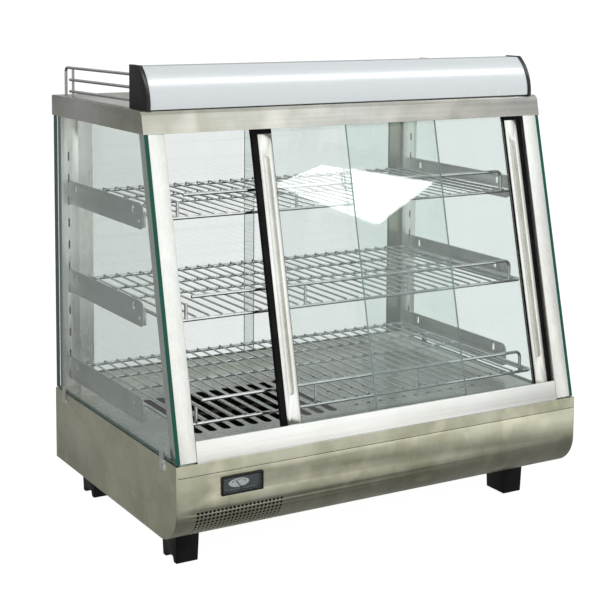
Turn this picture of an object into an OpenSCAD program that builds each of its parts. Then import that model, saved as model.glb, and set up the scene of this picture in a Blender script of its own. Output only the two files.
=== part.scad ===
// Countertop hot food display case: a heated base on four feet, a glazed cabinet with
// three wire shelves, sliding doors front and rear, and a light box on the roof.
// X runs along the width, the customer's side faces -Y, Z is up from the table.

/* [Housing] */
// Width of the housing and the roof
body_w = 700; // [660:1:900]
// Depth of the base housing
body_d = 454; // [430:1:480]
// Height of the base housing
base_h = 115; // [110:1:130]
// Height of the feet
foot_h = 58; // [45:1:65]
// Height of the glazed cabinet
glass_h = 443; // [430:1:470]
// How far the front leans back over the glazed height
lean = 102; // [90:1:112]
// Height of the roof's edge
roof_h = 32; // [30:1:36]
// Radius where the front rolls into the underside
roll_r = 52; // [45:1:60]
// Thickness of the sheet steel
skin = 1.2; // [1:0.1:1.5]

/* [Light box] */
// Depth of the light box
box_d = 60.5; // [58:0.5:66]
// Height of the light box
box_h = 62; // [58:1:64]
// Radius of its curved front
box_r = 70; // [68:1:80]
// Thickness of the black end caps
cap_t = 6; // [5:0.5:8]

/* [Doors] */
// Thickness of a front door's stile
door_t = 9; // [8:0.5:9]
// Width of a front door's stile
stile_w = 23; // [20:0.5:25]
// Width of the brush seal along the stile
brush_w = 8.5; // [6:0.5:9]
// How far the left front door stands open
door_open = 148; // [0:1:150]
// Overlap of two closed front doors
door_lap = 24; // [16:1:28]
// Overlap of two closed rear doors
rear_lap = 15; // [12:1:18]

/* [Shelves] */
// Height of the lowest shelf above the deck
shelf_low = 34.5; // [33:0.5:36]
// Pitch of the slots in the rear posts
slot_pitch = 35.6; // [35:0.1:36]
// Spacing of the shelf wires
wire_pitch = 21; // [18:1:25]
// Diameter of the frame wires
frame_wire = 5; // [4:0.5:5]
// Diameter of the fine wires
fine_wire = 3; // [2.5:0.5:3]

/* [Base details] */
// Columns of vent holes
vent_columns = 22; // [10:1:22]
// Rows of vent holes
vent_rows = 8; // [4:1:8]
// Slots in the deck
deck_slots = 11; // [6:1:12]
// Diameter of the thermostat knob
knob_d = 38; // [34:1:42]

/* [Hidden] */

$fn = 32;
steel = "#b4b2a6";
bright_steel = "#d8d6cc";
black = "#141414";
glass_tint = [0.75, 0.87, 0.84, 0.35];

// The origin is under the middle of everything, from the gauge's bezel to the knob.
bezel_proud = 2.5;
knob_proud = 20;
front = bezel_proud - (bezel_proud + body_d + knob_proud) / 2;
back = front + body_d;

// Levels
deck_z = foot_h + base_h;
roof_z = deck_z + glass_h;
top_z = roof_z + roof_h;
seam_z = deck_z - 16.5;

// Faces that run in depth
shell_x = body_w / 2;
gap = 0.2;
pane_t = 6;
pane_x = shell_x - skin - 0.3 - pane_t;
shadow_gap = 1.5;

// The leaning front plane: v runs up it, w runs into the cabinet
step_back = 3;
lean_a = atan(lean / glass_h);
run = glass_h / cos(lean_a);
post_w = 25.3;
post_x = pane_x - gap;
opening_x = post_x - post_w;

// Tracks for the front doors: three lips with a channel for each door between them
lip = 1.5;
mid_lip = 1.2;
play = 0.6;
recess = 7.5;
channel = door_t + 2 * play;
track_d = recess + mid_lip + lip + 2 * channel;
outer_w = recess + play;
inner_w = outer_w + channel + mid_lip;
sill_h = 29.5;
web_v = 12;
door_v0 = web_v + 2;
door_v1 = run + 12;
door_glass_t = 4;
door_w = opening_x - 0.3 + door_lap / 2;

// Rear doors and their tracks
rear_x = opening_x - 3.5;
rear_track_d = 13.6;
rear_lip = 1.2;
rear_mid = 1;
rear_t = 4.4;
rear_channel = (rear_track_d - 2 * rear_lip - rear_mid) / 2;
rear_play = (rear_channel - rear_t) / 2;
rear_glass_t = 3;
rear_stile_w = 24.5;
frame_back = back - 2.4;
post_y = frame_back - rear_track_d;
rear_door_w = rear_x - 0.3 + rear_lap / 2;
rear_v0 = deck_z + 10;
rear_v1 = roof_z + 11;

// Shelves, from the top down
shelf_z = [for (k = [2, 1, 0]) deck_z + shelf_low + k * 4 * slot_pitch];
shelf_front = [123, 96, 64];
shelf_back = post_y - 6;
shelf_x = opening_x - 5;
guard_h = 33;
guard_inset = 23;
mid_leg_x = 93;

// Brackets hang in the post slots
bracket_x = opening_x + 13;
bracket_t = 1.5;
bracket_l = 288;
slot_h = 13;
slot_w = 2.4;
slot_drop = 13.5;
first_slot = deck_z + shelf_low - slot_drop;

// Light box
box_front = front + 113;
box_back = box_front + box_d;
cap_x = body_w / 2 - 10;
box_top = top_z + box_h;

// Gauge on the front, thermostat and switches on the rear
gauge_x = -body_w / 2 + 101;
gauge_z = deck_z - 38;
gauge_w = 65.5;
gauge_h = 27;
gauge_open = [60, 21];
needle_z = -6.5;
control_z = foot_h + 60;
thermostat_x = body_w / 2 - 110;
power_x = thermostat_x - 75;
light_x = power_x - 40;
gland_x = -body_w / 2 + 70;
shaft_d = 6;
rocker_tilt = 9;
switch_w = 21;
switch_h = 28;
rocker_w = 12.4;
rocker_h = 19;
pin_d = 3;

function front_y(z) = front + step_back + (z - deck_z) * lean / glass_h;
function side(name) = name == "left" ? -1 : 1;
function arc(c, r, a0, a1, n) =
    [for (i = [0:n]) c + r * [cos(a0 + (a1 - a0) * i / n), sin(a0 + (a1 - a0) * i / n)]];

// ---------- shared shapes ----------

// Extrudes a (Y, Z) outline along X, centred
module along_x(w) {
    rotate([90, 0, 90]) linear_extrude(w, center = true) children();
}

// Places children on the leaning front: X stays, Y runs inward, Z runs up the slope
module on_slope() {
    translate([0, front_y(deck_z), deck_z]) rotate([-lean_a, 0, 0]) children();
}

// A block from its lowest corner to its highest
module block(a, b) {
    translate(a) cube(b - a);
}

// A round bar between two points
module rod(a, b, d) {
    v = b - a;
    translate(a) rotate([0, acos(v.z / norm(v)), atan2(v.y, v.x)])
        cylinder(h = norm(v), d = d, $fn = 24);
}

// A quarter bend in a round bar, turned into place by rot
module elbow(c, r, d, rot) {
    translate(c) rotate(rot) rotate_extrude(angle = 90, $fn = 32)
        translate([r, 0]) circle(d = d, $fn = 24);
}

// A slot with round ends, cut downwards
module round_slot(a, b, d, h) {
    for (p = [a, b]) translate([p.x, p.y, p.z]) cylinder(h = h, d = d);
    rod_w = b - a;
    translate([a.x - d / 2, a.y, a.z]) cube([d, rod_w.y, h]);
}

// A plate with rounded corners, standing in XZ and reaching from y0 to y1
module rounded_plate(w, h, r, y0, y1) {
    translate([0, y1, 0]) rotate([90, 0, 0]) linear_extrude(y1 - y0) {
        square([w - 2 * r, h], center = true);
        square([w, h - 2 * r], center = true);
        for (x = [-1, 1], z = [-1, 1]) translate([x * (w / 2 - r), z * (h / 2 - r)]) circle(r);
    }
}

// ---------- base housing ----------

// Outline of the base in (Y, Z), drawn t inside its outer face
module base_outline(t) {
    r = roll_r - t;
    translate([front + roll_r, foot_h + roll_r]) circle(r, $fn = 96);
    translate([front + roll_r, foot_h + t]) square([body_d - roll_r, base_h - t]);
    translate([front + t, foot_h + roll_r]) square([body_d - t, base_h - roll_r]);
}

// Round vent holes square to the rolled front
module vent_holes() {
    pitch = 6.26;
    first_x = -body_w / 2 + 33;
    first_a = asin((foot_h + roll_r - (deck_z - 71)) / roll_r);
    step_a = 6 / roll_r * 180 / PI;
    for (row = [0:vent_rows - 1], column = [0:vent_columns - 1])
        translate([first_x + column * pitch, front + roll_r, foot_h + roll_r])
            rotate([first_a + row * step_a + 90, 0, 0])
                translate([0, 0, roll_r - 2 * skin]) cylinder(h = 4 * skin, d = 4, $fn = 16);
}

// Front, rolled edge and underside in one sheet
module base_wrap() {
    color(steel) difference() {
        along_x(2 * (shell_x - skin - gap)) difference() {
            base_outline(0);
            base_outline(skin);
            translate([front - 1, seam_z - 0.8]) square([body_d + 2, base_h]);
            translate([back - skin - gap, 0]) square([2 * skin, deck_z]);
        }
        translate([gauge_x, front, gauge_z]) cube([gauge_w - 5, 6, gauge_h - 5], center = true);
        vent_holes();
    }
}

module base_side(s) {
    color(steel) difference() {
        translate([s * (shell_x - skin / 2), 0, 0]) along_x(skin) base_outline(0);
        for (y = clip_y()) translate([s * shell_x, y, clip_z]) rotate([0, 90, 0])
            cylinder(h = 4 * skin, d = 3.6, center = true);
    }
}

module base_rear_panel() {
    color(steel) difference() {
        block([-shell_x + skin + gap, back - skin, foot_h], [shell_x - skin - gap, back, deck_z - skin - gap]);
        translate([thermostat_x, back, control_z]) rotate([90, 0, 0])
            cylinder(h = 4 * skin, d = 10.2, center = true);
        for (x = [power_x, light_x])
            translate([x, back, control_z]) cube([switch_w - 2, 6, switch_h - 2], center = true);
        translate([gland_x, back, control_z - 25]) rotate([90, 0, 0])
            cylinder(h = 4 * skin, d = 16, center = true);
        for (k = [-6:6]) translate([-60 + k * 12, back, control_z]) cube([4, 6, 40], center = true);
    }
}

// Slotted floor of the cabinet with a short flange down the front
module deck() {
    slot_d = 13.5;
    slot_step = 23.1;
    slot_x = -body_w / 2 + 96;
    y0 = front + 121 + slot_d / 2;
    y1 = front + 316 - slot_d / 2;
    hole_x = 24;
    half = shell_x - skin - gap;
    color(bright_steel) difference() {
        union() {
            block([-half, front, deck_z - skin], [half, back, deck_z]);
            block([-half, front, seam_z], [half, front + skin, deck_z - skin / 2]);
        }
        for (k = [0:deck_slots - 1]) {
            x = slot_x + k * slot_step;
            round_slot([x, y0, deck_z - 2 * skin], [x, y1, deck_z - 2 * skin], slot_d, 4 * skin);
        }
        for (k = [0:10], y = [front + 134, front + 218, front + 302])
            translate([hole_x + k * 22.5, y, deck_z - 2 * skin]) cylinder(h = 4 * skin, d = 7);
    }
}

// A tapered block that stands on two lands, arched on its underside
module foot(sx, sy) {
    foot_w = 34.5;
    foot_d = 45;
    flare = 2;
    x = sx * (body_w / 2 - 38.5 - foot_w / 2);
    y = sy < 0 ? front + 82.5 + foot_d / 2 : back - 19 - foot_d / 2;
    arch = 8;
    color(black) translate([x, y, 0]) difference() {
        intersection() {
            rotate([90, 0, 0]) linear_extrude(2 * foot_d, center = true)
                polygon([[-foot_w / 2, 0], [foot_w / 2, 0], [foot_w / 2 + flare, foot_h],
                         [-foot_w / 2 - flare, foot_h]]);
            along_x(2 * foot_w)
                polygon([[-foot_d / 2, 0], [foot_d / 2, 0], [foot_d / 2 + flare, foot_h],
                         [-foot_d / 2 - flare, foot_h]]);
        }
        translate([sx * foot_w / 4, 0, 0]) along_x(foot_w)
            polygon([[-foot_d / 2 + 9, -1], [foot_d / 2 - 9, -1], [foot_d / 2 - 13, arch],
                     [-foot_d / 2 + 12, arch]]);
    }
}

// ---------- heater under the deck ----------

heater_d = 8;
heater_z = deck_z - 30;
heater_x0 = -body_w / 2 + 86;
heater_x1 = heater_x0 + 252;
heater_y0 = front + 143;
heater_runs = 4;
heater_pitch = 50;

// A tubular element bent into a serpentine, with both ends through the tray's left wall
module heater_element() {
    r = heater_pitch / 2;
    color("#6b5b4d") {
        for (k = [0:heater_runs - 1]) {
            y = heater_y0 + k * heater_pitch;
            long_end = k == 0 || k == heater_runs - 1;
            x0 = long_end ? heater_x0 - 12 : heater_x0 + 40;
            rod([x0, y, heater_z], [heater_x1 - 40, y, heater_z], heater_d);
        }
        for (k = [0:heater_runs - 2]) {
            right = k % 2 == 0;
            x = right ? heater_x1 - 40 : heater_x0 + 40;
            y = heater_y0 + (k + 0.5) * heater_pitch;
            elbow([x, y, heater_z], r, heater_d, [0, 0, right ? 0 : 90]);
            elbow([x, y, heater_z], r, heater_d, [0, 0, right ? -90 : 180]);
        }
    }
}

// A reflector tray hung from the deck's underside by its flanges
module heater_tray() {
    depth = 52;
    z1 = deck_z - skin;
    z0 = z1 - depth;
    y0 = heater_y0 - 32;
    y1 = heater_y0 + (heater_runs - 1) * heater_pitch + 32;
    color("#9a9a96") difference() {
        union() {
            block([heater_x0, y0, z0], [heater_x1, y1, z1]);
            block([heater_x0 - 8, y0 - 8, z1 - skin], [heater_x1 + 8, y1 + 8, z1]);
        }
        block([heater_x0 + skin, y0 + skin, z0 + skin], [heater_x1 - skin, y1 - skin, z1 + 1]);
        for (k = [0, heater_runs - 1])
            translate([heater_x0, heater_y0 + k * heater_pitch, heater_z]) rotate([0, 90, 0])
                cylinder(h = 4 * skin, d = heater_d + 0.2, center = true);
    }
}

// ---------- gauge on the front ----------

// Black bezel in front of the sheet with its case behind it
module gauge_case() {
    color(black) translate([gauge_x, front, gauge_z]) difference() {
        union() {
            rounded_plate(gauge_w, gauge_h, 1.5, -bezel_proud, 0);
            block([-gauge_w / 2 + 3, 0, -gauge_h / 2 + 3], [gauge_w / 2 - 3, 14, gauge_h / 2 - 3]);
        }
        block([-gauge_open.x / 2, -5, -gauge_open.y / 2], [gauge_open.x / 2, 8, gauge_open.y / 2]);
    }
}

// Dial plate with the needle's bearing in it
module gauge_dial() {
    color("#e4e4dc") translate([gauge_x, front, gauge_z]) difference() {
        block([-gauge_open.x / 2, 3.5, -gauge_open.y / 2], [gauge_open.x / 2, 5, gauge_open.y / 2]);
        translate([0, 4, needle_z]) rotate([90, 0, 0]) cylinder(h = 4, d = 2.1, center = true);
    }
}

module gauge_needle() {
    color("#b02020") translate([gauge_x, front, gauge_z + needle_z]) {
        rotate([90, 0, 0]) translate([0, 0, -6]) cylinder(h = 3.5, d = 2);
        rotate([90, 0, 0]) translate([0, 0, -2.5]) cylinder(h = 1, d = 4);
        rotate([0, -38, 0]) block([-0.5, 1.7, 0], [0.5, 2.3, 13]);
    }
}

module gauge_window() {
    color(glass_tint) translate([gauge_x, front, gauge_z])
        block([-gauge_open.x / 2, -0.6, -gauge_open.y / 2], [gauge_open.x / 2, 0.4, gauge_open.y / 2]);
}

// ---------- controls on the rear ----------

// Thermostat with a threaded neck through the panel and a bore for the knob's shaft
module thermostat_body() {
    color("#c8c4b8") translate([thermostat_x, back, control_z]) difference() {
        union() {
            block([-20, -skin - 28, -20], [20, -skin, 20]);
            rotate([-90, 0, 0]) translate([0, 0, -skin]) cylinder(h = skin + 0.8, d = 10);
        }
        rotate([-90, 0, 0]) translate([0, 0, -16]) cylinder(h = 20, d = shaft_d + 0.1);
    }
}

// Knob with a skirt, a grip wing and its shaft
module thermostat_knob() {
    clear = 1;
    color(black) translate([thermostat_x, back, control_z]) rotate([-90, 0, 0]) {
        translate([0, 0, -12]) cylinder(h = 12 + clear + 1, d = shaft_d);
        translate([0, 0, clear]) cylinder(h = 4, d = knob_d, $fn = 64);
        translate([0, 0, clear + 4]) cylinder(h = 3, d = knob_d - 8, $fn = 64);
        translate([0, 0, clear + 7]) intersection() {
            cylinder(h = knob_proud - clear - 7, d = knob_d - 8, $fn = 64);
            block([-5, -knob_d / 2, 0], [5, knob_d / 2, knob_proud]);
        }
    }
}

// A snap-in switch housing with bearings for its rocker
module switch_case(x) {
    color(black) translate([x, back, control_z]) difference() {
        union() {
            block([-switch_w / 2, 0, -switch_h / 2], [switch_w / 2, 2, switch_h / 2]);
            block([-switch_w / 2 + 1.2, -20, -switch_h / 2 + 1.2], [switch_w / 2 - 1.2, 0, switch_h / 2 - 1.2]);
        }
        block([-rocker_w / 2 - 0.4, -9, -11], [rocker_w / 2 + 0.4, 5, 11]);
        translate([0, -1, 0]) rotate([0, 90, 0]) cylinder(h = rocker_w + 5, d = pin_d + 0.1, center = true);
    }
}

// A rocker that rests pressed in at its lower end
module rocker(x, tint) {
    half = rocker_h / 2;
    color(tint) translate([x, back - 1, control_z]) rotate([-rocker_tilt, 0, 0]) {
        along_x(rocker_w)
            polygon([[-5.5, 0], [-1.5, -half], [4, -half], [2.4, 0], [4, half], [-1.5, half]]);
        rotate([0, 90, 0]) cylinder(h = rocker_w + 4, d = pin_d, center = true);
    }
}

// Gland for the mains lead, with its clamp nut outside and lock nut inside
module mains_gland() {
    color(black) translate([gland_x, back, control_z - 25]) rotate([-90, 0, 0]) difference() {
        union() {
            translate([0, 0, -12]) cylinder(h = 26, d = 15.6);
            cylinder(h = 4, d = 22, $fn = 6);
            translate([0, 0, 4]) cylinder(h = 9, d = 19);
            translate([0, 0, -skin - 4]) cylinder(h = 4, d = 22, $fn = 6);
        }
        translate([0, 0, -14]) cylinder(h = 30, d = 8);
    }
}

// ---------- front frame ----------

// Keeps only what is above the deck
module above_deck() {
    intersection() {
        children();
        block([-body_w, front - 100, deck_z], [body_w, back + 100, top_z + 200]);
    }
}

joint_gap = 0.5;

// Lower track: a hollow face, a middle lip and a rear lip on a web
module front_sill() {
    color(bright_steel) above_deck() on_slope() along_x(2 * (opening_x - joint_gap)) {
        square([lip, sill_h]);
        translate([0, sill_h - lip]) square([recess, lip]);
        translate([recess - lip, web_v - lip]) square([lip, sill_h - web_v + lip]);
        translate([0, web_v - lip]) square([track_d, lip]);
        translate([recess + channel, web_v - lip]) square([mid_lip, 11]);
        translate([track_d - lip, 0]) square([lip, sill_h - 7]);
    }
}

// Upper track, hidden behind the roof's front edge
module front_header() {
    v = door_v1 + 1.5;
    drop = 10;
    color(bright_steel) on_slope() along_x(2 * (opening_x - gap)) {
        translate([recess - lip, v - drop]) square([lip, drop + 0.5]);
        translate([0, v]) square([track_d, lip]);
        translate([recess + channel, v - drop]) square([mid_lip, drop + 0.5]);
        translate([track_d - lip, v - drop]) square([lip, drop + 0.5]);
    }
}

// Leaning channel between the side glass and the doors
module front_post(s) {
    color(bright_steel) intersection() {
        on_slope() translate([s * (post_x - post_w / 2), 0, -20]) difference() {
            block([-post_w / 2, 0, 0], [post_w / 2, track_d, run + 60]);
            block([-post_w / 2 + lip, lip, -1], [post_w / 2 - lip, track_d + 1, run + 61]);
        }
        union() {
            block([-body_w, front - 10, deck_z + shadow_gap], [body_w, back, top_z - 12]);
            block([-body_w, front + 10, deck_z], [body_w, back, deck_z + shadow_gap]);
        }
    }
}

// ---------- rear frame ----------

rear_lips = [0, rear_lip + rear_channel, rear_track_d - rear_lip];

module rear_track(web_z, lip_z, h) {
    color(bright_steel) {
        block([-rear_x + gap, post_y, web_z], [rear_x - gap, frame_back, web_z + rear_lip]);
        for (k = [0:2]) {
            t = k == 1 ? rear_mid : rear_lip;
            block([-rear_x + gap, post_y + rear_lips[k], lip_z],
                  [rear_x - gap, post_y + rear_lips[k] + t, lip_z + h]);
        }
    }
}

module rear_sill() {
    rear_track(deck_z + 8, deck_z, 18);
}

module rear_header() {
    rear_track(rear_v1 + 1, rear_v1 - 10, 11.5);
}

// Slotted post that carries the brackets
module rear_post(s) {
    w = pane_x - gap - rear_x;
    z1 = top_z - 12;
    color(bright_steel) difference() {
        translate([s * (rear_x + w / 2), 0, 0]) difference() {
            block([-w / 2, post_y, deck_z], [w / 2, frame_back, z1]);
            block([-w / 2 + skin, post_y + skin, deck_z - 1], [w / 2 - skin, frame_back - skin, z1 + 1]);
        }
        for (k = [0:10]) translate([s * bracket_x, post_y, first_slot + k * slot_pitch])
            cube([slot_w, 4, slot_h], center = true);
    }
}

// ---------- glass sides ----------

clip_z = deck_z - 7;
function clip_y() = [front + 46, back - 39];

module side_glass(s) {
    z0 = deck_z + shadow_gap;
    z1 = roof_z + 8;
    color(glass_tint) translate([s * (pane_x + pane_t / 2), 0, 0]) along_x(pane_t)
        polygon([[front_y(z0), z0], [back - 0.5, z0], [back - 0.5, z1], [front_y(z1), z1]]);
}

// Four lugs with dome screws that hold the side glass to the base
module glass_clips() {
    lug_t = 1.2;
    color("#d0d0d0") for (s = [-1, 1], y = clip_y()) translate([s * shell_x, y, 0]) {
        mirror([s < 0 ? 1 : 0, 0, 0]) {
            block([0, -7, clip_z - 8], [lug_t, 7, deck_z + 10]);
            block([-1.4, -6, deck_z + 3], [0.1, 6, deck_z + 10]);
            translate([-4, 0, clip_z]) rotate([0, 90, 0]) cylinder(h = 5, d = 3.4);
            translate([lug_t, 0, clip_z]) intersection() {
                translate([-5.2, 0, 0]) sphere(d = 13, $fn = 48);
                rotate([0, 90, 0]) cylinder(h = 5, d = 7.5);
            }
        }
    }
}

// ---------- sliding doors ----------

// Front doors are drawn closed on the slope, with s = -1 for the left one.
// w is the depth of the door's front face behind the slope.
glass_bite = 5;

module front_glass(s, w) {
    x0 = opening_x - 0.3 - brush_w - stile_w + glass_bite;
    far = door_lap / 2;
    y = w + (door_t - door_glass_t) / 2;
    color(glass_tint) mirror([s < 0 ? 1 : 0, 0, 0])
        block([-far, y, door_v0], [x0, y + door_glass_t, door_v1]);
}

// Steel stile with a groove for the glass and a long finger pull
module front_stile(s, w) {
    x0 = opening_x - 0.3 - brush_w - stile_w;
    x1 = x0 + stile_w;
    y = w + (door_t - door_glass_t) / 2;
    pull_d = 9;
    pull_x = x1 - 11.5;
    pull = [74, 412];
    pull_deep = 6;
    color(bright_steel) mirror([s < 0 ? 1 : 0, 0, 0]) difference() {
        block([x0, w, door_v0], [x1, w + door_t, run - 5]);
        block([x0 - 1, y, door_v0 - 1], [x0 + glass_bite, y + door_glass_t, run]);
        block([pull_x - pull_d / 2, w - 1, pull.x], [pull_x + pull_d / 2, w + pull_deep, pull.y]);
        for (v = [pull.x, pull.y]) translate([pull_x, w - 1, v]) rotate([-90, 0, 0])
            cylinder(h = pull_deep + 1, d = pull_d);
    }
}

// Black brush along the stile, glazing strip on its other edge and the guide cap on top
module front_seals(s, w) {
    x0 = opening_x - 0.3 - brush_w - stile_w;
    x1 = x0 + stile_w;
    y = w + (door_t - door_glass_t) / 2;
    strip = 1;
    color(black) mirror([s < 0 ? 1 : 0, 0, 0]) {
        block([x1, w + 1, door_v0], [x1 + brush_w, w + door_t - 1, run - 5]);
        difference() {
            block([x0 - strip, w + 1, door_v0], [x0, w + door_t - 1, run - 5]);
            block([x0 - 2, y, door_v0 - 1], [x0 + 1, y + door_glass_t, run]);
        }
        difference() {
            block([x0 - strip, w + 0.5, run - 5], [x1 + brush_w, w + door_t - 0.5, door_v1]);
            block([x0 - 2, y, run - 6], [x0 + glass_bite, y + door_glass_t, door_v1 + 1]);
        }
    }
}

module left_front_door() {
    on_slope() translate([door_open, 0, 0]) children();
}

module right_front_door() {
    on_slope() children();
}

// Rear doors are upright and closed; the left one runs in the inner channel
rear_door_y = [post_y + rear_lip + rear_play,
               post_y + rear_lip + rear_channel + rear_mid + rear_play];

module rear_glass(s, y) {
    x0 = rear_x - 0.3 - rear_stile_w + 10;
    g = y + (rear_t - rear_glass_t) / 2;
    color(glass_tint) mirror([s < 0 ? 1 : 0, 0, 0])
        block([-rear_lap / 2, g, rear_v0], [x0, g + rear_glass_t, rear_v1]);
}

// Steel stile with a finger pull on the server's side
module rear_stile(s, y) {
    x1 = rear_x - 0.3;
    x0 = x1 - rear_stile_w;
    g = y + (rear_t - rear_glass_t) / 2;
    pull = [deck_z + 90, roof_z - 60];
    color(bright_steel) mirror([s < 0 ? 1 : 0, 0, 0]) difference() {
        block([x0, y, rear_v0], [x1, y + rear_t, rear_v1]);
        block([x0 - 1, g, rear_v0 - 1], [x0 + 10, g + rear_glass_t, rear_v1 + 1]);
        block([x0 + 13, y + rear_t - 1.5, pull.x], [x0 + 21, y + rear_t + 1, pull.y]);
        for (z = pull) translate([x0 + 17, y + rear_t - 1.5, z]) rotate([-90, 0, 0])
            cylinder(h = 3, d = 8);
    }
}

// ---------- roof and light box ----------

roof_back = back + 3;
bend_r = 10;

// Roof outline in (Y, Z), drawn t inside its outer face, with rolled upper edges
function roof_outline(t) =
    let (y0 = front_y(roof_z) - 1.5, y1 = front_y(top_z - bend_r) - 1.5)
    concat([[y0 + t, roof_z - (t > 0 ? 1 : 0)]],
           arc([y1 + bend_r, top_z - bend_r], bend_r - t, 180, 90, 12),
           arc([roof_back - 4, top_z - 4], 4 - t, 90, 0, 6),
           [[roof_back - t, roof_z - (t > 0 ? 1 : 0)]]);

// Folded roof, open underneath, with a lining across the cabinet
module roof() {
    lining_y0 = front_y(roof_z) + track_d + 8;
    color(steel) {
        difference() {
            along_x(body_w) polygon(roof_outline(0));
            along_x(body_w - 2 * skin) polygon(roof_outline(skin));
        }
        block([-opening_x, lining_y0, roof_z + 8], [opening_x, post_y - 1, roof_z + 8 + skin]);
        for (y = [lining_y0, post_y - 1 - skin])
            block([-opening_x, y, roof_z + 8], [opening_x, y + skin, top_z - skin]);
    }
}

// Light box outline in (Y, Z), drawn t inside its outer face
module box_outline(t) {
    intersection() {
        translate([box_front + t, top_z]) square([box_d - t, box_h - t]);
        translate([box_front + box_r, top_z + 5]) circle(box_r - t, $fn = 128);
    }
}

// A cap whose nose reaches down over the roof's front bend
module end_cap(s) {
    nose = 5;
    color(black) translate([s * (cap_x - cap_t / 2), 0, 0]) difference() {
        along_x(cap_t) difference() {
            union() {
                box_outline(0);
                translate([box_front + 0.6, top_z - nose]) square([9, nose + 1]);
            }
            polygon(roof_outline(-0.1));
        }
        for (z = rail_levels)
            rod([0, box_back - 3.2, z], [0, box_back + 1, z], rail_d + 0.1);
    }
}

// Curved opal cover over the top and front
module diffuser() {
    wall = 2;
    set_back = 1.5;
    color("#eef2f6") along_x(2 * (cap_x - cap_t - gap)) difference() {
        box_outline(set_back);
        box_outline(set_back + wall);
        translate([box_back - 6, top_z - 1]) square([20, box_h + 10]);
        translate([box_front, top_z - 1]) square([box_d, 2]);
    }
}

// Folded channel that closes the light box behind and carries the lamp
module light_channel() {
    color("#e8e8e4") along_x(2 * (cap_x - cap_t - gap)) {
        translate([box_front + 8, top_z]) square([box_d - 8, skin]);
        translate([box_back - skin, top_z]) square([skin, box_h - 1.5]);
        translate([box_back - 5.8, box_top - 1.5 - skin]) square([5.8, skin]);
        translate([box_back - 14, box_top - 3.6 - skin]) square([14, skin]);
        translate([box_back - skin, box_top - 5]) square([skin, 3]);
    }
}

// Lamp tube with a holder at each end
module lamp() {
    tube_d = 16;
    y = box_front + 42;
    z = top_z + 30;
    half = cap_x - cap_t - 20;
    color("#f4f4f0") {
        rod([-half, y, z], [half, y, z], tube_d);
        for (s = [-1, 1]) translate([s * (half + 5), y, 0])
            block([-6, -8, top_z + skin], [6, 8, z + 10]);
    }
}

// ---------- gallery rails on the roof ----------

rail_d = 4.6;
rail_levels = [top_z + 48, top_z + 29.5, top_z + 11.5];
rail_drop = 3.5;

// The wires sink a little towards the rear. The top one bends down to the roof
// and a second leg stops the two lower ones.
module rail(s) {
    x = s * (cap_x - cap_t / 2);
    y0 = box_back - 3;
    y_end = back - 27;
    y_leg = back - 57;
    r = 7;
    top = rail_levels[0] - rail_drop;
    color("#9c9c9c") {
        rod([x, y0, rail_levels[0]], [x, y_end - r, top], rail_d);
        elbow([x, y_end - r, top - r], r, rail_d, [90, 0, 90]);
        rod([x, y_end, top_z], [x, y_end, top - r], rail_d);
        rod([x, y_leg, top_z], [x, y_leg, top + 0.3], rail_d - 0.5);
        for (k = [1, 2])
            rod([x, y0, rail_levels[k]], [x, y_leg + 12, rail_levels[k] - rail_drop], rail_d);
    }
}

// ---------- shelves and brackets ----------

// A welded wire rack with a raised guard along its front
module shelf(i) {
    z = shelf_z[i];
    x = shelf_x;
    y0 = front + shelf_front[i];
    y1 = shelf_back;
    r = 8;
    lift = (frame_wire + fine_wire) / 2 - 0.6;
    count = 2 * floor((x - wire_pitch / 2) / wire_pitch);
    gx = x - guard_inset;
    gr = 9;
    color("#c4c6c6") {
        for (y = [y0, y1]) rod([-x + r, y, z], [x - r, y, z], frame_wire);
        for (s = [-1, 1]) rod([s * x, y0 + r, z], [s * x, y1 - r, z], frame_wire);
        elbow([x - r, y1 - r, z], r, frame_wire, [0, 0, 0]);
        elbow([-x + r, y1 - r, z], r, frame_wire, [0, 0, 90]);
        elbow([-x + r, y0 + r, z], r, frame_wire, [0, 0, 180]);
        elbow([x - r, y0 + r, z], r, frame_wire, [0, 0, 270]);
        for (k = [-count / 2:count / 2])
            rod([k * wire_pitch, y0 - 1, z + lift], [k * wire_pitch, y1 + 1, z + lift], fine_wire);
        for (y = [y1 - 86, y1 - 163]) rod([-x, y, z], [x, y, z], frame_wire - 1);
        rod([-gx + gr, y0, z + guard_h], [gx - gr, y0, z + guard_h], frame_wire);
        for (s = [-1, 1]) {
            rod([s * gx, y0, z], [s * gx, y0, z + guard_h - gr], frame_wire);
            rod([s * mid_leg_x, y0, z], [s * mid_leg_x, y0, z + guard_h], frame_wire - 1);
        }
        elbow([gx - gr, y0, z + guard_h - gr], gr, frame_wire, [90, 0, 0]);
        elbow([-gx + gr, y0, z + guard_h - gr], gr, frame_wire, [90, 0, 180] + [0, -90, 0]);
    }
}

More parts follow.
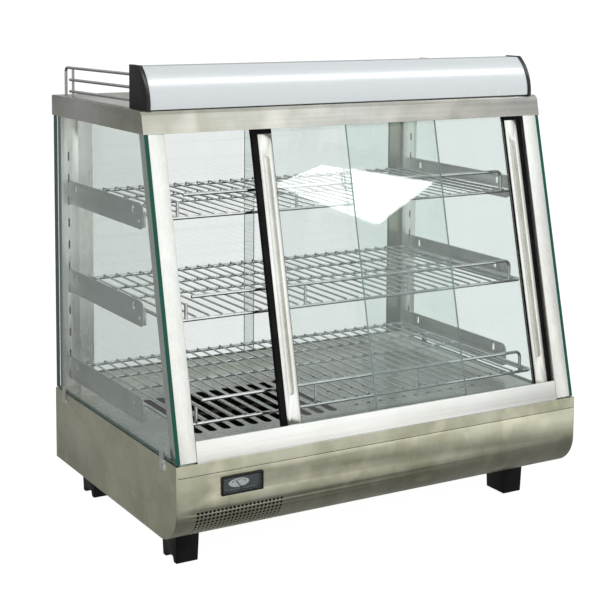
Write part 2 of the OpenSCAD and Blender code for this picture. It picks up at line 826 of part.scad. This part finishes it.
// A plate that hooks into two slots, with lanced tabs under the shelf and a curled nose
module bracket(i, s) {
    rise = 20;
    drop = 18;
    nose = 12;
    curl = 4;
    tab_u = [32, bracket_l - 34];
    tab_l = bracket_x - shelf_x + 3;
    color("#a9aba6") translate([s * bracket_x, post_y, shelf_z[i]]) mirror([s < 0 ? 1 : 0, 0, 0]) {
        difference() {
            union() {
                along_x(bracket_t) polygon(concat(
                    [[-gap, -drop], [-gap, rise]],
                    arc([-bracket_l + nose, rise - nose], nose, 90, 180, 8),
                    [[-bracket_l, -drop + 4], [-bracket_l + 8, -drop]]));
                for (h = [slot_pitch - slot_drop, -slot_drop])
                    block([-bracket_t / 2, -gap - 1, max(h - 5, -drop)], [bracket_t / 2, 4, min(h + 3, rise)]);
            }
            for (u = tab_u) translate([0, -u, 9]) {
                for (h = [-3, 3]) translate([0, 0, h]) rotate([0, 90, 0])
                    cylinder(h = 4, d = 6, center = true);
                cube([4, 6, 6], center = true);
            }
            translate([0, -bracket_l + 14, -6]) rotate([0, 90, 0]) cylinder(h = 4, d = 5, center = true);
        }
        translate([-curl / 2, -bracket_l - 0.3, -drop + 4]) cylinder(h = rise + drop - nose - 4, d = curl);
        for (u = tab_u) {
            top = -frame_wire / 2;
            block([-tab_l, -u - 3.5, top - bracket_t], [bracket_t / 2 - 0.2, -u + 3.5, top]);
        }
    }
}

base_wrap();
base_side(-1);  // base_side_left
base_side(1);  // base_side_right
base_rear_panel();
deck();
foot(-1, -1);  // foot_front_left
foot(1, -1);  // foot_front_right
foot(-1, 1);  // foot_rear_left
foot(1, 1);  // foot_rear_right
heater_element();
heater_tray();
gauge_case();
gauge_dial();
gauge_needle();
gauge_window();
thermostat_body();
thermostat_knob();
switch_case(power_x);  // power_switch
rocker(power_x, "#a01818");  // power_rocker
switch_case(light_x);  // light_switch
rocker(light_x, "#202020");  // light_rocker
mains_gland();
front_sill();
front_header();
front_post(-1);  // front_post_left
front_post(1);  // front_post_right
rear_sill();
rear_header();
rear_post(-1);  // rear_post_left
rear_post(1);  // rear_post_right
side_glass(-1);  // side_glass_left
side_glass(1);  // side_glass_right
glass_clips();
left_front_door() front_glass(-1, inner_w);  // front_left_glass
left_front_door() front_stile(-1, inner_w);  // front_left_stile
left_front_door() front_seals(-1, inner_w);  // front_left_seals
right_front_door() front_glass(1, outer_w);  // front_right_glass
right_front_door() front_stile(1, outer_w);  // front_right_stile
right_front_door() front_seals(1, outer_w);  // front_right_seals
rear_glass(-1, rear_door_y[0]);  // rear_left_glass
rear_stile(-1, rear_door_y[0]);  // rear_left_stile
rear_glass(1, rear_door_y[1]);  // rear_right_glass
rear_stile(1, rear_door_y[1]);  // rear_right_stile
roof();
light_channel();
lamp();
diffuser();
end_cap(-1);  // end_cap_left
end_cap(1);  // end_cap_right
rail(-1);  // rail_left
rail(1);  // rail_right
shelf(0);  // shelf_top
shelf(1);  // shelf_middle
shelf(2);  // shelf_low_rack
bracket(0, -1);  // bracket_top_left
bracket(0, 1);  // bracket_top_right
bracket(1, -1);  // bracket_middle_left
bracket(1, 1);  // bracket_middle_right
bracket(2, -1);  // bracket_low_left
bracket(2, 1);  // bracket_low_right
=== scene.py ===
"""The looks of a countertop hot food display case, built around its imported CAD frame."""

import math

import bpy
from mathutils import Matrix, Vector


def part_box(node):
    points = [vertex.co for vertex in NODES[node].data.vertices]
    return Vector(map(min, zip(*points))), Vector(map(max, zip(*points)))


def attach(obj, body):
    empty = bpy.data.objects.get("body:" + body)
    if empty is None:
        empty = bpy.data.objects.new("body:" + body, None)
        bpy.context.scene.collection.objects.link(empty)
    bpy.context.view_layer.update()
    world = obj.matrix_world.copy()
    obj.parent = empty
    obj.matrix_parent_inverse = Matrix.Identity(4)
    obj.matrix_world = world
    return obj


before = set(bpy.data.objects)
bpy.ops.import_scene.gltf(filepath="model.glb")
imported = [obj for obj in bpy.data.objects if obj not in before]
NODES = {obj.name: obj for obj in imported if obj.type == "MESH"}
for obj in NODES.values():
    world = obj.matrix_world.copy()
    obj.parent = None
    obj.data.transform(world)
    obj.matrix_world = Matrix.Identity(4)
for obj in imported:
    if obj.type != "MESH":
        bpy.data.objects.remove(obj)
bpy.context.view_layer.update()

# ---------- camera ----------

CAMERA_PLACE = Vector((-1.1662, -1.9593, 0.8249))
CAMERA_YAW = 0.5286
CAMERA_PITCH = 0.1073
CAMERA_ROLL = -0.0062
CAMERA_LENS = 86.91
CAMERA_SHIFT = -0.2667


def make_camera():
    """A camera that looks along +Y turned by the yaw, tipped down by the pitch."""
    yaw, pitch, roll = CAMERA_YAW, CAMERA_PITCH, CAMERA_ROLL
    ahead = Vector((math.sin(yaw) * math.cos(pitch), math.cos(yaw) * math.cos(pitch), -math.sin(pitch)))
    level = Vector((math.cos(yaw), -math.sin(yaw), 0))
    down = ahead.cross(level)
    right = math.cos(roll) * level + math.sin(roll) * down
    below = math.cos(roll) * down - math.sin(roll) * level
    turn = Matrix((right, -below, -ahead)).transposed().to_4x4()
    data = bpy.data.cameras.new("camera")
    data.lens = CAMERA_LENS
    data.sensor_width = 36
    data.shift_y = CAMERA_SHIFT
    data.clip_end = 2000
    camera = bpy.data.objects.new("camera", data)
    camera.matrix_world = Matrix.Translation(CAMERA_PLACE) @ turn
    bpy.context.collection.objects.link(camera)
    bpy.context.scene.camera = camera


# ---------- material helpers ----------


class Graph:
    """A material's nodes, with short calls that add a node and join its inputs."""

    def __init__(self, name):
        self.material = bpy.data.materials.new(name)
        self.material.use_nodes = True
        self.tree = self.material.node_tree
        self.tree.nodes.clear()
        self.output = self.tree.nodes.new("ShaderNodeOutputMaterial")

    def add(self, kind, **inputs):
        """A node; an input is a value or another node's output."""
        node = self.tree.nodes.new("ShaderNode" + kind)
        for name, value in inputs.items():
            self.put(node, name.replace("_", " "), value)
        return node

    def put(self, node, name, value):
        socket = node.inputs[int(name[1:])] if name[0] == "i" and name[1:].isdigit() else node.inputs[name]
        if isinstance(value, bpy.types.NodeSocket):
            self.tree.links.new(value, socket)
        else:
            socket.default_value = value

    def math(self, operation, a, b=0.0, clamp=False):
        node = self.tree.nodes.new("ShaderNodeMath")
        node.operation = operation
        node.use_clamp = clamp
        self.put(node, "i0", a)
        self.put(node, "i1", b)
        return node.outputs[0]

    def place(self, scale=(1, 1, 1)):
        """Object coordinates, stretched."""
        coords = self.add("TexCoord").outputs["Object"]
        return self.add("Mapping", Vector=coords, Scale=scale).outputs[0]

    def noise(self, vector, scale, detail=2.0, roughness=0.5):
        node = self.add("TexNoise", Vector=vector, Scale=scale, Detail=detail, Roughness=roughness)
        return node.outputs[0]

    def ramp(self, value, stops):
        """A colour ramp from (position, colour) pairs; a number is a grey."""
        node = self.add("ValToRGB", Fac=value)
        elements = node.color_ramp.elements
        while len(elements) < len(stops):
            elements.new(0.5)
        for element, (position, colour) in zip(elements, stops):
            element.position = position
            element.color = (*colour, 1) if isinstance(colour, tuple) else (colour, colour, colour, 1)
        return node.outputs[0]

    def mix(self, factor, a, b, kind="MIX"):
        node = self.tree.nodes.new("ShaderNodeMix")
        node.data_type = "RGBA"
        node.blend_type = kind
        for socket, value in zip((node.inputs[0], node.inputs[6], node.inputs[7]), (factor, a, b)):
            if isinstance(value, bpy.types.NodeSocket):
                self.tree.links.new(value, socket)
            else:
                socket.default_value = value if isinstance(value, float) else (*value, 1)
        return node.outputs[2]

    def bump(self, height, strength, distance=0.001):
        return self.add("Bump", Height=height, Strength=strength, Distance=distance).outputs[0]

    def finish(self, shader):
        self.tree.links.new(shader.outputs[0], self.output.inputs["Surface"])
        return self.material


def stretched(direction, along, across):
    """Mapping scales for streaks that run along one axis (0, 1 or 2)."""
    return tuple(along if axis == direction else across for axis in range(3))


# ---------- materials ----------


def brushed_steel(name, tone, direction, roughness=0.3, blotches=0.25, streaks=0.5, spread=11.0):
    """Stainless sheet: streaks along one axis, cloudy tone and handling marks; on the roof the big dark
    clouds are painted reflection.
    """
    g = Graph(name)
    fine = g.noise(g.place(stretched(direction, 5, 900)), 1.0, 3.0, 0.7)
    coarse = g.noise(g.place(stretched(direction, 3, 260)), 1.0, 2.0, 0.6)
    cloud = g.noise(g.place(), spread, 5.0, 0.62)
    dab = g.noise(g.place(), spread * 2.7, 2.0, 0.4)
    smear = g.noise(g.place(stretched(direction, 12, 40)), 1.0, 3.0, 0.6)
    # The darker cloud tone is a stain on most sheets; on the roof it is painted reflection of dark
    # surroundings.
    stain_and_reflection_tone = tuple(a * b for a, b in zip(tone, (0.66, 0.65, 0.56)))
    warm = tuple(min(1.0, a * b) for a, b in zip(tone, (1.13, 1.09, 1.04)))
    base = g.mix(g.math("MULTIPLY", g.ramp(cloud, [(0.38, 0.0), (0.62, 1.0)]), blotches), tone, stain_and_reflection_tone)
    base = g.mix(g.math("MULTIPLY", g.ramp(dab, [(0.52, 0.0), (0.66, 1.0)]), blotches), base, warm)
    grain = g.math("ADD", g.math("MULTIPLY", fine, 0.4), g.math("MULTIPLY", coarse, 0.6))
    colour = g.mix(streaks, base, g.ramp(grain, [(0.36, 0.8), (0.62, 1.02)]), "MULTIPLY")
    rough = g.math("ADD", roughness - 0.09, g.math("MULTIPLY", coarse, 0.1))
    rough = g.math("ADD", rough, g.math("MULTIPLY", smear, 0.08))
    height = g.math("ADD", g.math("MULTIPLY", grain, 0.5), g.math("MULTIPLY", cloud, 0.9))
    shader = g.add("BsdfPrincipled", Base_Color=colour, Metallic=1.0, Roughness=rough,
                   Normal=g.bump(height, 0.1))
    shader.inputs["Anisotropic"].default_value = 0.35
    return g.finish(shader)


def wire_metal(name, tone, roughness, painted_shade_below=1.0):
    """Drawn wire: plated, slightly hazy, darker in spots, and with painted shade that darkens its
    downward-facing side.
    """
    g = Graph(name)
    upward = g.add("SeparateXYZ", Vector=g.add("NewGeometry").outputs["Normal"]).outputs[2]
    # Painted shade: the colour is darkened toward the wire's downward-facing side; the last argument sets
    # how dark that side gets.
    painted_shade_ramp = g.ramp(g.math("MULTIPLY", g.math("ADD", upward, 1.0), 0.5), [(0.3, painted_shade_below), (0.62, 1.0)])
    haze = g.noise(g.place(), 60.0, 3.0)
    spots = g.noise(g.place(), 320.0, 2.0)
    colour = g.mix(g.ramp(haze, [(0.4, 0.0), (0.7, 0.55)]), tone, tuple(0.62 * c for c in tone))
    colour = g.mix(1.0, colour, painted_shade_ramp, "MULTIPLY")
    rough = g.math("ADD", roughness, g.math("MULTIPLY", spots, 0.12))
    shader = g.add("BsdfPrincipled", Base_Color=colour, Metallic=1.0, Roughness=rough,
                   Normal=g.bump(spots, 0.12, 0.0004))
    return g.finish(shader)


def moulded_plastic(name, tone, roughness=0.42, grain=900.0, gloss=0.5):
    """Moulded plastic with a fine grain and rubbed patches."""
    g = Graph(name)
    texture = g.noise(g.place(), grain, 2.0)
    rubbed = g.noise(g.place(), 35.0, 3.0)
    worn = tuple(min(1, 1.5 * c + 0.012) for c in tone)
    colour = g.mix(g.ramp(rubbed, [(0.45, 0.0), (0.75, 0.5)]), tone, worn)
    rough = g.math("ADD", roughness, g.math("MULTIPLY", rubbed, 0.14))
    shader = g.add("BsdfPrincipled", Base_Color=colour, Roughness=rough, Normal=g.bump(texture, 0.2, 0.0003))
    shader.inputs["Specular IOR Level"].default_value = gloss
    return g.finish(shader)


def pane_glass(name, face_axis, tint=(0.93, 0.955, 0.945), edge=(0.0, 0.065, 0.042)):
    """Float glass: clear across its faces, deep green where a cut edge shows."""
    g = Graph(name)
    geometry = g.add("NewGeometry")
    facing = g.add("VectorTransform", Vector=geometry.outputs["Normal"])
    facing.vector_type = "NORMAL"
    facing.convert_from = "WORLD"
    facing.convert_to = "OBJECT"
    split = g.add("SeparateXYZ", Vector=facing.outputs[0])
    across = g.math("ABSOLUTE", split.outputs[face_axis])
    on_face = g.math("GREATER_THAN", across, 0.8)
    smears = g.noise(g.place(), 14.0, 4.0, 0.65)
    ior = g.math("ADD", 1.5, g.math("MULTIPLY", geometry.outputs["Backfacing"], 1 / 1.5 - 1.5))
    fresnel = g.add("Fresnel", IOR=ior).outputs[0]
    smeared = tuple(0.985 * c for c in tint)
    clear = g.add("BsdfTransparent", Color=g.ramp(smears, [(0.3, tint), (0.8, smeared)]))
    gloss = g.add("BsdfGlossy", Color=(1, 1, 1, 1), Roughness=g.math("MULTIPLY", smears, 0.02))
    face = g.add("MixShader", Fac=fresnel, i1=clear.outputs[0], i2=gloss.outputs[0])
    depth = g.noise(g.place(), 25.0, 2.0)
    lit_edge = tuple(1.4 * c for c in edge)
    rim = g.add("BsdfPrincipled", Base_Color=g.mix(depth, edge, lit_edge), Roughness=0.12)
    rim.inputs["Specular IOR Level"].default_value = 0.25
    return g.finish(g.add("MixShader", Fac=on_face, i1=rim.outputs[0], i2=face.outputs[0]))


def opal_acrylic(name, tone):
    """Milky cover: a pale, slightly cloudy surface with a soft gloss on top."""
    g = Graph(name)
    cloud = g.noise(g.place(), 12.0, 3.0)
    fine = g.noise(g.place(), 700.0, 2.0)
    colour = g.mix(cloud, tone, tuple(0.965 * c for c in tone))
    rough = g.math("ADD", 0.22, g.math("MULTIPLY", cloud, 0.08))
    shader = g.add("BsdfPrincipled", Base_Color=colour, Roughness=rough, Normal=g.bump(fine, 0.04, 0.0003))
    shader.inputs["Coat Weight"].default_value = 0.3
    shader.inputs["Coat Roughness"].default_value = 0.12
    return g.finish(shader)


def painted(name, tone, roughness=0.4):
    """Baked enamel with orange peel."""
    g = Graph(name)
    peel = g.noise(g.place(), 260.0, 2.0)
    cloud = g.noise(g.place(), 16.0, 3.0)
    colour = g.mix(cloud, tone, tuple(0.93 * c for c in tone))
    rough = g.math("ADD", roughness, g.math("MULTIPLY", cloud, 0.1))
    shader = g.add("BsdfPrincipled", Base_Color=colour, Roughness=rough, Normal=g.bump(peel, 0.15, 0.0004))
    return g.finish(shader)


OLIVE = (0.7, 0.7, 0.55)
BRIGHT = (0.84, 0.84, 0.8)
PALE = (0.92, 0.92, 0.88)
INK = (0.003, 0.003, 0.0035)

MATERIALS = {
    "base_wrap": brushed_steel("base_front", OLIVE, 0, 0.3, 0.75, 0.3),
    "base_side": brushed_steel("base_side", OLIVE, 1, 0.32, 0.5, 0.35),
    "base_rear_panel": brushed_steel("base_rear", OLIVE, 0, 0.32, 0.35),
    "deck": brushed_steel("deck_sheet", PALE, 0, 0.26, 0.5, 0.3),
    "heater_tray": brushed_steel("tray_sheet", (0.12, 0.115, 0.1), 0, 0.45, 0.6),
    # The roof's darker tone and large, strong dark clouds are painted reflection of the dark surroundings,
    # not a stain.
    "roof": brushed_steel("roof_sheet_painted_reflection", (0.74, 0.74, 0.7), 0, 0.28, 0.8, 0.5, 5.0),
    "front_sill": brushed_steel("sill_sheet", PALE, 0, 0.3, 0.15),
    "front_header": brushed_steel("header_sheet", BRIGHT, 0, 0.3, 0.15),
    "front_post": brushed_steel("post_sheet", PALE, 2, 0.3, 0.2),
    "rear_post": brushed_steel("rear_post_sheet", PALE, 2, 0.34, 0.2),
    "rear_sill": brushed_steel("rear_sill_sheet", BRIGHT, 0, 0.3, 0.15),
    "rear_header": brushed_steel("rear_header_sheet", BRIGHT, 0, 0.3, 0.15),
    "stile": brushed_steel("stile_sheet", PALE, 2, 0.28, 0.3),
    # This stile is given a much darker tone than the other stiles.
    "rear_right_stile": brushed_steel("dark_stile_sheet", (0.36, 0.37, 0.31), 2, 0.3, 0.3),
    "bracket": brushed_steel("bracket_sheet", (0.8, 0.82, 0.81), 1, 0.32, 0.3, 0.3),
    "glass_clips": wire_metal("clip_chrome", (0.8, 0.8, 0.79), 0.12),
    # The shelf and rail wires carry painted shade on their lower side: the shelf's is nearly black, the
    # rail's is milder.
    "shelf": wire_metal("shelf_wire", (0.9, 0.93, 0.92), 0.08, 0.08),
    "rail": wire_metal("rail_wire", (0.7, 0.7, 0.7), 0.2, 0.3),
    "foot": moulded_plastic("foot_plastic", INK, 0.35, 700.0, 0.3),
    "end_cap": moulded_plastic("cap_plastic", INK, 0.3, 900.0, 0.35),
    "seals": moulded_plastic("seal_rubber", INK, 0.6, 1500.0, 0.15),
    "black": moulded_plastic("black_plastic", INK, 0.38, 900.0, 0.35),
    "red": moulded_plastic("red_plastic", (0.5, 0.02, 0.015), 0.25),
    "thermostat_body": moulded_plastic("ceramic", (0.62, 0.58, 0.48), 0.5),
    "heater_element": wire_metal("element_tube", (0.2, 0.17, 0.14), 0.45),
    "gauge_dial": painted("dial_enamel", (0.01, 0.018, 0.03)),
    "light_channel": painted("channel_paint", (0.8, 0.8, 0.78)),
    "lamp": opal_acrylic("lamp_tube", (0.9, 0.9, 0.88)),
    "diffuser": opal_acrylic("opal_cover", (0.62, 0.65, 0.665)),
    "side_glass": pane_glass("side_pane", 0),
    "door_glass": pane_glass("door_pane", 1, edge=(0.4, 0.52, 0.48)),
    "rear_door_glass": pane_glass("rear_pane", 1, (0.88, 0.9, 0.89), (0.3, 0.4, 0.37)),
    "gauge_window": pane_glass("gauge_pane", 1, (0.97, 0.98, 0.98), (0.3, 0.32, 0.32)),
}
OTHER_NAMES = {
    "gauge_case": "black", "power_switch": "black", "light_switch": "black", "mains_gland": "black",
    "thermostat_knob": "black", "light_rocker": "black", "power_rocker": "red", "gauge_needle": "black",
}


def material_for(node):
    """The material of a CAD node, found from its name."""
    if node in OTHER_NAMES:
        return MATERIALS[OTHER_NAMES[node]]
    if node in MATERIALS:
        return MATERIALS[node]
    if node.endswith("_stile"):
        return MATERIALS["stile"]
    if node.endswith("_seals"):
        return MATERIALS["seals"]
    if node.endswith("_glass"):
        return MATERIALS["rear_door_glass" if node.startswith("rear_") else "door_glass"]
    return next(m for key, m in MATERIALS.items() if node.startswith(key))


# ---------- finish of the CAD nodes ----------

BEVELS = {
    "foot": 0.0012, "end_cap": 0.0007, "gauge_case": 0.0005, "thermostat_knob": 0.0007,
    "power": 0.0004, "light_switch": 0.0004, "light_rocker": 0.0004, "base_": 0.00035,
    "front_sill": 0.0005, "front_post": 0.0005, "rear_post": 0.0003, "bracket": 0.0004,
    "front_left_stile": 0.0006, "front_right_stile": 0.0006, "roof": 0.0003,
}


def smooth(obj, angle=30):
    """Smooth shading that keeps edges sharper than the angle."""
    mesh = obj.data
    mesh.polygons.foreach_set("use_smooth", [True] * len(mesh.polygons))
    mesh.set_sharp_from_angle(angle=math.radians(angle))


def soften_edges(obj, width):
    """Rounds the sharp edges a little, so that they catch the light."""
    weld = obj.modifiers.new("weld", "WELD")
    weld.merge_threshold = 0.00002
    flat = obj.modifiers.new("flat", "DECIMATE")
    flat.decimate_type = "DISSOLVE"
    flat.angle_limit = math.radians(0.5)
    bevel = obj.modifiers.new("bevel", "BEVEL")
    bevel.width = width
    bevel.segments = 2
    bevel.limit_method = "ANGLE"
    bevel.angle_limit = math.radians(35)
    bevel.harden_normals = True


def finish_flange(obj):
    """The deck's front flange is part of the housing's face, so it shares its finish."""
    obj.data.materials.append(MATERIALS["base_wrap"])
    for face in obj.data.polygons:
        face.material_index = int(face.normal.y < -0.9)


def dress_cad_nodes():
    for name, obj in NODES.items():
        obj.data.materials.clear()
        obj.data.materials.append(material_for(name))
        smooth(obj)
        for start, width in BEVELS.items():
            if name.startswith(start):
                soften_edges(obj, width)
    finish_flange(NODES["deck"])


# ---------- gauge face ----------


PRINT_THICK = 0.0001


def plate(name, outline, y, material, body="cabinet"):
    """A thin printed patch that faces -Y; the outline holds (x, z) points."""
    count = len(outline)
    points = [(x, y, z) for x, z in outline] + [(x, y + PRINT_THICK, z) for x, z in outline]
    faces = [tuple(range(count)), tuple(reversed(range(count, 2 * count)))]
    for k in range(count):
        after = (k + 1) % count
        faces.append((k, k + count, after + count, after))
    mesh = bpy.data.meshes.new(name)
    mesh.from_pydata(points, [], faces)
    mesh.materials.append(material)
    piece = bpy.data.objects.new(name, mesh)
    bpy.context.collection.objects.link(piece)
    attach(piece, body)
    return piece


def ellipse(x, z, rx, rz, steps=40):
    turns = [2 * math.pi * k / steps for k in range(steps)]
    return [(x + rx * math.cos(t), z + rz * math.sin(t)) for t in turns]


def make_gauge_face():
    """A pale oval scale with plain dark marks, printed on the dial."""
    low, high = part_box("gauge_dial")
    middle_x = (low[0] + high[0]) / 2 - 0.0035
    middle_z = (low[2] + high[2]) / 2 + 0.0005
    y = low[1] - 0.00015
    pale = painted("scale_print", (0.62, 0.64, 0.64))
    dark = painted("mark_print", (0.01, 0.01, 0.012))
    plate("gauge_scale", ellipse(middle_x, middle_z, 0.016, 0.0063), y, pale)
    rule = [(low[0] + 0.006, low[2] + 0.0018), (high[0] - 0.006, low[2] + 0.0018)]
    rule += [(x, z + 0.0007) for x, z in reversed(rule)]
    plate("gauge_rule", rule, y, painted("rule_print", (0.16, 0.2, 0.26)))
    for k in range(9):
        angle = math.radians(160 - 17.5 * k)
        x = middle_x + 0.0105 * math.cos(angle)
        z = middle_z + 0.0042 * math.sin(angle)
        half = 0.0007 if k % 4 == 0 else 0.0004
        tall = 0.0009
        corners = [(x - half, z - tall), (x + half, z - tall), (x + half, z + tall), (x - half, z + tall)]
        plate("gauge_mark_%d" % k, corners, y - PRINT_THICK, dark)


# ---------- stage ----------

KEY_SIDE = Vector((0.25, -0.93, 0.27)).normalized()


def make_floor():
    """A pale floor, white to the eye. Reflections see it bright in front of the case and dim behind, with
    painted shade darkest in a band near the case's front edge.
    """
    g = Graph("floor_paper")
    shade = g.noise(g.place(), 0.8, 2.0)
    paper = g.add("BsdfDiffuse", Color=g.mix(shade, (0.13, 0.13, 0.13), (0.14, 0.14, 0.14)))
    glow = g.add("Emission", Color=(1, 1, 1, 1), Strength=0.97)
    seen = g.add("AddShader", i0=paper.outputs[0], i1=glow.outputs[0])
    split = g.add("SeparateXYZ", Vector=g.add("TexCoord").outputs["Object"])
    place = g.math("MULTIPLY", g.math("SUBTRACT", 1.0, split.outputs[1]), 0.4, True)
    # The dip to 0.13 is painted shade. It stands in for the case's contact shadow in a band near its front
    # edge.
    stops = [(0.0, 0.3), (0.42, 0.3), (0.52, 0.13), (0.58, 0.36), (0.7, 0.85), (0.95, 1.1)]
    dim = g.add("Emission", Color=g.ramp(place, stops), Strength=1.0)
    camera_ray = g.add("LightPath").outputs["Is Camera Ray"]
    material = g.finish(g.add("MixShader", Fac=camera_ray, i1=dim.outputs[0], i2=seen.outputs[0]))
    mesh = bpy.data.meshes.new("floor")
    reach = 400
    corners = [(-reach, -reach, 0), (reach, -reach, 0), (reach, reach, 0), (-reach, reach, 0)]
    mesh.from_pydata(corners, [], [(0, 1, 2, 3)])
    floor = bpy.data.objects.new("floor", mesh)
    floor.data.materials.append(material)
    bpy.context.collection.objects.link(floor)


def make_world():
    """A studio that is brightest in front, pale above and dim low down behind."""
    world = bpy.data.worlds.new("studio")
    bpy.context.scene.world = world
    world.use_nodes = True
    tree = world.node_tree
    direction = tree.nodes.new("ShaderNodeTexCoord").outputs["Generated"]
    toward = tree.nodes.new("ShaderNodeVectorMath")
    toward.operation = "DOT_PRODUCT"
    toward.inputs[1].default_value = KEY_SIDE
    split = tree.nodes.new("ShaderNodeSeparateXYZ")
    lighter = tree.nodes.new("ShaderNodeMix")
    lighter.data_type = "RGBA"
    lighter.blend_type = "LIGHTEN"
    lighter.inputs[0].default_value = 1.0
    tree.links.new(direction, toward.inputs[0])
    tree.links.new(direction, split.inputs[0])
    front = [(0.0, 0.0), (0.6, 0.3), (0.85, 0.8), (0.95, 1.05), (1.0, 1.3)]
    above = [(0.0, 0.16), (0.2, 0.42), (0.5, 0.62), (1.0, 0.78)]
    for slot, source, stops in ((6, toward.outputs["Value"], front), (7, split.outputs[2], above)):
        ramp = tree.nodes.new("ShaderNodeValToRGB")
        while len(ramp.color_ramp.elements) < len(stops):
            ramp.color_ramp.elements.new(0.5)
        for element, (position, grey) in zip(ramp.color_ramp.elements, stops):
            element.position = position
            element.color = (0.98 * grey, grey, 1.01 * grey, 1)
        tree.links.new(source, ramp.inputs[0])
        tree.links.new(ramp.outputs[0], lighter.inputs[slot])
    tree.links.new(lighter.outputs[2], tree.nodes["Background"].inputs["Color"])


def softbox(name, place, target, size, power):
    """A rectangular lamp that faces a point."""
    data = bpy.data.lights.new(name, "AREA")
    data.shape = "RECTANGLE"
    data.size, data.size_y = size
    data.energy = power
    lamp = bpy.data.objects.new(name, data)
    lamp.location = place
    lamp.rotation_euler = (Vector(target) - Vector(place)).to_track_quat("-Z", "Y").to_euler()
    lamp.visible_glossy = False
    bpy.context.collection.objects.link(lamp)


# Where the main camera sees the studio window in the front panes, as points on the glass
WINDOW_ON_GLASS = [
    (-0.142, -0.1435, 0.536), (-0.055, -0.138, 0.560), (0.138, -0.147, 0.522), (0.029, -0.161, 0.467),
]
WINDOW_REACH = 1.1


def emissive_card(name, places, strength, receivers):
    """A glowing card that only the named CAD nodes mirror; the others see through it."""
    mesh = bpy.data.meshes.new(name)
    mesh.from_pydata(places, [], [(0, 1, 2, 3)])
    g = Graph(name + "_light")
    glow = g.add("Emission", Color=(1, 1, 1, 1), Strength=strength)
    clear = g.add("BsdfTransparent", Color=(1, 1, 1, 1))
    mesh.materials.append(g.finish(g.add("AddShader", i0=glow.outputs[0], i1=clear.outputs[0])))
    card = bpy.data.objects.new(name, mesh)
    card.visible_camera = False
    card.visible_diffuse = False
    card.visible_shadow = False
    bpy.context.collection.objects.link(card)
    group = bpy.data.collections.new(name + "_receivers")
    for node in receivers:
        group.objects.link(NODES[node])
    card.light_linking.receiver_collection = group


STRIP_SIDE = Vector((0.54, -0.48, 0.69))
STRIP_DISTANCE = 2.2
STRIP_HALF_WIDTH = 0.24
STRIP_HALF_LENGTH = 3.5


def make_strip():
    """A long lamp above the case, seen as a bright band along the opal cover."""
    low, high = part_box("diffuser")
    toward = STRIP_SIDE.normalized()
    middle = (low + high) / 2 + STRIP_DISTANCE * toward
    rise = toward.cross(Vector((1, 0, 0))).normalized() * STRIP_HALF_WIDTH
    along = Vector((STRIP_HALF_LENGTH, 0, 0))
    places = [middle - along - rise, middle + along - rise, middle + along + rise, middle - along + rise]
    emissive_card("strip_card", places, 9.0, ["diffuser", "end_cap_left", "end_cap_right"])


def make_roof_glow():
    """A pale card under the roof, so that the steel inside is lit from above."""
    low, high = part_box("roof")
    inset, drop = 0.05, 0.02
    left, right = low[0] + inset, high[0] - inset
    near, far = low[1] + inset, high[1] - inset
    z = low[2] - drop
    places = [(left, near, z), (right, near, z), (right, far, z), (left, far, z)]
    steel = [name for name in NODES if name.startswith(("deck", "shelf", "bracket", "rear_post"))]
    emissive_card("roof_glow", places, 1.05, steel)


def make_window():
    """A bright card in front of the case, placed so that the panes mirror it to the main camera."""
    lean = pane_normal()
    corners = [Vector(point) for point in WINDOW_ON_GLASS]
    middle = sum(corners, Vector()) / len(corners)
    behind = CAMERA_PLACE - 2 * (CAMERA_PLACE - middle).dot(lean) * lean
    places = [point + (point - behind) * WINDOW_REACH for point in corners]
    panes = [name for name in NODES if name.startswith("front_") and name.endswith("_glass")]
    emissive_card("window_card", places, 7.0, panes)


def pane_normal():
    """The outward normal of the leaning front, from the corners of a door's pane."""
    mesh = NODES["front_right_glass"].data
    widest = max(mesh.polygons, key=lambda face: face.area * (face.normal.y < 0))
    return widest.normal.copy()


def make_lights():
    middle = (0, 0, 0.35)
    softbox("front_box", (1.4, -2.4, 1.3), middle, (1.6, 1.2), 14)
    softbox("top_box", (0.2, -0.4, 3.0), middle, (2.5, 1.6), 16)


make_camera()
make_world()
make_lights()
make_window()
make_strip()
make_roof_glow()
make_floor()
dress_cad_nodes()
make_gauge_face()

bpy.context.scene.view_settings.view_transform = "Standard"
